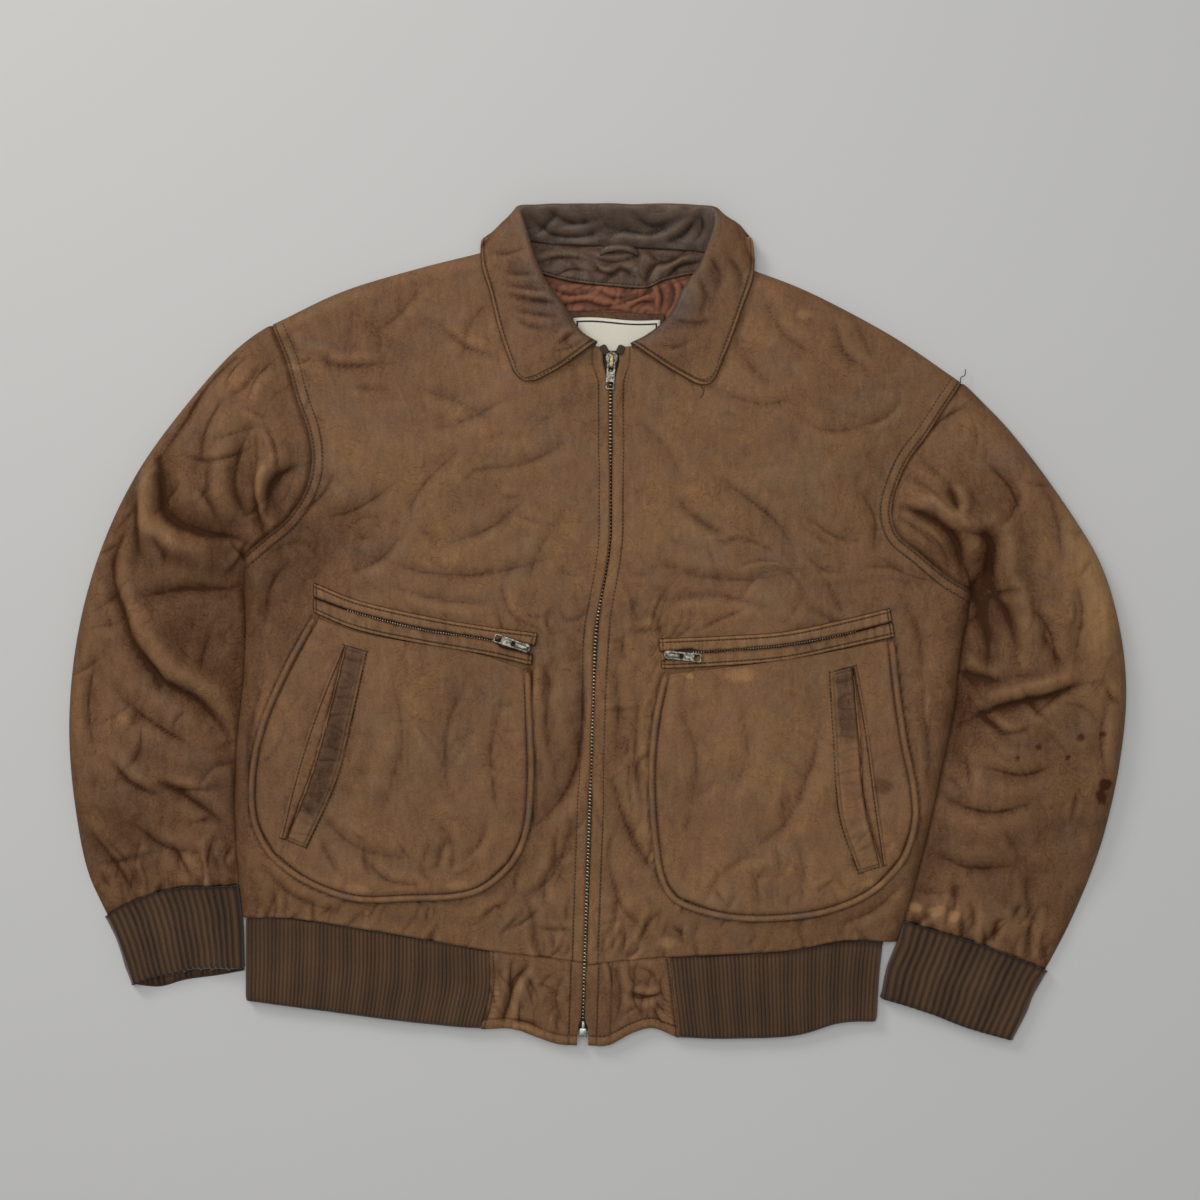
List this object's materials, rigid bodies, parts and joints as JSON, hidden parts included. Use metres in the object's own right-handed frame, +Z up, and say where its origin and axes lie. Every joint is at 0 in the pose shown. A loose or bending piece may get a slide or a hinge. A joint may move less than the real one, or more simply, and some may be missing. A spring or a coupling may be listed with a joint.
{
  "type": "leather jacket laid flat",
  "caption": "Zipped leather flight jacket laid flat on its back, with a turned-down collar, knitted hem and cuffs, and zipped patch pockets.",
  "frame": {"origin": "on the surface that the jacket lies on, under the middle of its outline", "axes": "+Z up from the surface, +Y from the hem to the collar, +X to the wearer's left"},
  "size_m": [0.9141, 0.7227, 0.029],
  "materials": {
    "leather": "worn waxed brown leather, soft sheen",
    "dark_leather": "dark rubbed leather, slightly shiny",
    "rib_knit": "ribbed wool knit",
    "satin": "rust satin lining",
    "label_cloth": "woven cream label, blank",
    "zip_tape": "woven cotton tape",
    "zip_nickel": "tarnished nickel",
    "zip_brass": "worn brass"
  },
  "bodies": {
    "jacket": {"back": "leather", "front_right": "leather", "front_left": "leather", "sleeve_top_right": "leather", "sleeve_top_left": "leather", "sleeve_under_right": "leather", "sleeve_under_left": "leather", "collar": "leather", "hem_tab_right": "leather", "hem_tab_left": "leather", "pocket_right": "leather", "pocket_left": "leather", "pocket_piping_right": "leather", "pocket_piping_left": "leather", "zip_welt_upper_right": "leather", "zip_welt_upper_left": "leather", "zip_welt_lower_right": "leather", "zip_welt_lower_left": "leather", "hand_lip_right": "leather", "hand_lip_left": "leather", "neck_facing": "dark_leather", "hanger_loop": "dark_leather", "hand_welt_right": "dark_leather", "hand_welt_left": "dark_leather", "cuff_right": "rib_knit", "cuff_left": "rib_knit", "hem_band": "rib_knit", "lining": "satin", "label": "label_cloth", "zip_tape_right": "zip_tape", "zip_tape_left": "zip_tape", "zip_chain": "zip_nickel", "main_slider": "zip_nickel", "pocket_right_slider": "zip_nickel", "pocket_left_slider": "zip_nickel", "main_slider_arch": "zip_brass", "pocket_right_slider_arch": "zip_brass", "pocket_left_slider_arch": "zip_brass", "zip_pin_box": "zip_brass"},
    "main_pull": {"main_pull": "zip_nickel"},
    "pocket_right_pull": {"pocket_right_pull": "zip_nickel"},
    "pocket_left_pull": {"pocket_left_pull": "zip_nickel"}
  },
  "joints": [
    {"name": "main_pull_hinge", "type": "hinge", "parent": "jacket", "child": "main_pull", "pos_m": [0.012, 0.229, 0.01878], "axis": [-0.9982, 0.06, 0], "range_deg": [0, 170]},
    {"name": "pocket_right_pull_hinge", "type": "hinge", "parent": "jacket", "child": "pocket_right_pull", "pos_m": [-0.063, -0.0185, 0.02296], "axis": [0.324, 0.946, 0], "range_deg": [0, 170]},
    {"name": "pocket_left_pull_hinge", "type": "hinge", "parent": "jacket", "child": "pocket_left_pull", "pos_m": [0.062, -0.025, 0.02299], "axis": [-0.0998, -0.995, 0], "range_deg": [0, 170]}
  ]
}
